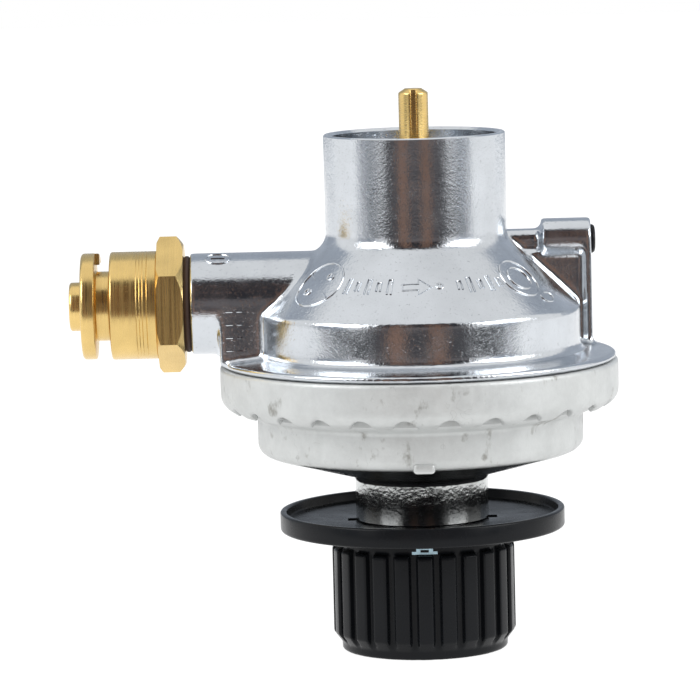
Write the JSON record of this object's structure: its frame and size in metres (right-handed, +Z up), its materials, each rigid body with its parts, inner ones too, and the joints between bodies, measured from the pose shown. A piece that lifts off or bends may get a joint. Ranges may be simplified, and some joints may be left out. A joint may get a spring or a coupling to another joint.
{
  "type": "gas pressure regulator",
  "caption": "Knob-adjusted gas pressure regulator: threaded cylinder cup with brass pin on top, crimped diaphragm housing, brass quick-connect outlet at the side, dish and ribbed knob below.",
  "frame": {"origin": "on the main axis, on the flat bottom face of the knob", "axes": "+Z up the main axis from the knob to the cylinder cup; the outlet plug points along -X"},
  "size_m": [0.1056, 0.077, 0.1086],
  "materials": {
    "plated_zinc": "bright zinc plating, slightly orange-peeled",
    "cast_zinc": "matt as-cast zinc, rubbed",
    "brass": "bright turned brass",
    "steel": "plain steel",
    "spring_steel": "drawn wire",
    "black_plastic": "moulded, semi-matt",
    "black_rubber": "matt",
    "dark_gasket": "matt",
    "orange_rubber": "fabric reinforced, matt",
    "white_plastic": "moulded acetal",
    "sintered_bronze": "sintered, porous",
    "blue_print": "pad-printed ink"
  },
  "bodies": {
    "housing": {"upper_housing": "plated_zinc", "lower_cover": "cast_zinc", "crimp_ring": "cast_zinc", "diaphragm": "orange_rubber", "diaphragm_slip_ring": "steel", "vent_screen": "steel", "inlet_nozzle": "brass", "inlet_pin": "brass", "inlet_seal": "black_rubber", "inlet_filter": "sintered_bronze", "poppet_spring": "spring_steel", "outlet_adaptor": "brass", "outlet_gasket": "dark_gasket", "outlet_jet": "brass", "side_port_plug": "black_plastic", "side_port_seal": "black_rubber", "neck_bushing": "brass", "main_spring": "spring_steel", "bezel_dish": "black_plastic", "bezel_ring": "spring_steel"},
    "knob": {"knob": "black_plastic", "knob_cap": "black_plastic", "knob_screw": "steel", "knob_mark": "blue_print", "adjusting_screw": "steel", "thrust_washer": "white_plastic", "stem_oring": "black_rubber", "retaining_clip": "spring_steel"},
    "spring_follower": {"spring_follower": "brass"},
    "diaphragm_stack": {"diaphragm_plate": "steel", "stud_washer": "steel", "diaphragm_stud": "brass", "stud_nut": "steel"},
    "valve": {"poppet": "brass", "poppet_seal": "black_rubber"}
  },
  "joints": [
    {"name": "knob_turn", "type": "hinge", "parent": "housing", "child": "knob", "pos_m": [0, 0, 0], "axis": [0, 0, -1], "range_deg": [0, 300]},
    {"name": "follower_slide", "type": "slide", "parent": "housing", "child": "spring_follower", "axis": [0, 0, 1], "range_m": [0, 0.00505], "deforming": ["main_spring"]},
    {"name": "diaphragm_stroke", "type": "slide", "parent": "housing", "child": "diaphragm_stack", "axis": [0, 0, 1], "range_m": [0, 0.0015], "stiffness_N_per_m": 600, "springref_m": -0.0005, "deforming": ["diaphragm"]},
    {"name": "valve_lift", "type": "slide", "parent": "housing", "child": "valve", "axis": [0, 0, 1], "range_m": [0, 0.0015], "deforming": ["poppet_spring"]}
  ],
  "couplings": [
    {"joint": "follower_slide", "follows": "knob_turn", "m_per_rad": 0.00095493},
    {"joint": "valve_lift", "follows": "diaphragm_stroke", "ratio": 1}
  ]
}
